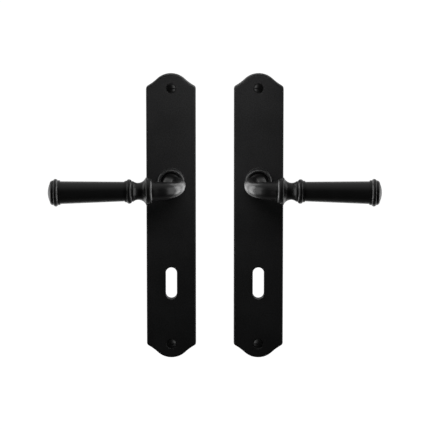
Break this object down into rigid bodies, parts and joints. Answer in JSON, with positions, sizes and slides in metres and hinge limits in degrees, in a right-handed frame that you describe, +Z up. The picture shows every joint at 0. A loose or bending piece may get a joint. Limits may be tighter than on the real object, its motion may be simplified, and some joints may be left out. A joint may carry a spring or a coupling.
{
  "type": "lever handle lockset",
  "caption": "Sprung lever handles on long arched backplates with key slots, wood screws and a square spindle, for both sides of a door with a lever lock.",
  "frame": {"origin": "where the left lever's turning axis meets the back plane of the backplates", "axes": "+X from the left unit to the right unit, +Y into the door, so the fronts face -Y, +Z up"},
  "size_m": [0.283, 0.1555, 0.2488],
  "materials": {
    "plate_coat": "matt black powder coat on a zinc casting",
    "lever_coat": "satin black coat on a zinc casting",
    "screw_coat": "satin black coat on steel, bare at the thread's edge",
    "nylon": "black nylon",
    "plated_steel": "zinc-plated pressed steel",
    "spring_steel": "oiled spring steel",
    "spindle_steel": "zinc-plated square bar"
  },
  "bodies": {
    "backplates": {"left_backplate": "plate_coat", "left_neck_bush": "nylon", "left_thrust_washer": "plated_steel", "left_return_spring": "spring_steel", "left_spring_cover": "plated_steel", "left_upper_cover_screw": "plated_steel", "left_lower_cover_screw": "plated_steel", "left_top_wood_screw": "screw_coat", "left_bottom_wood_screw": "screw_coat", "right_backplate": "plate_coat", "right_neck_bush": "nylon", "right_thrust_washer": "plated_steel", "right_return_spring": "spring_steel", "right_spring_cover": "plated_steel", "right_upper_cover_screw": "plated_steel", "right_lower_cover_screw": "plated_steel", "right_top_wood_screw": "screw_coat", "right_bottom_wood_screw": "screw_coat"},
    "left_lever_turning": {"left_lever": "lever_coat", "left_drive_plate": "plated_steel", "left_retaining_ring": "spring_steel", "spindle": "spindle_steel"},
    "right_lever_turning": {"right_lever": "lever_coat", "right_drive_plate": "plated_steel", "right_retaining_ring": "spring_steel"}
  },
  "joints": [
    {"name": "left_lever_turn", "type": "hinge", "parent": "backplates", "child": "left_lever_turning", "pos_m": [0, -0.0105, 0], "axis": [0, -1, 0], "range_deg": [0, 45], "stiffness_Nm_per_rad": 0.6, "springref_deg": -34.38, "deforming": ["left_return_spring"]},
    {"name": "right_lever_turn", "type": "hinge", "parent": "backplates", "child": "right_lever_turning", "pos_m": [0.0752, -0.0105, 0], "axis": [0, 1, 0], "range_deg": [0, 45], "stiffness_Nm_per_rad": 0.6, "springref_deg": -34.38, "deforming": ["right_return_spring"]}
  ]
}
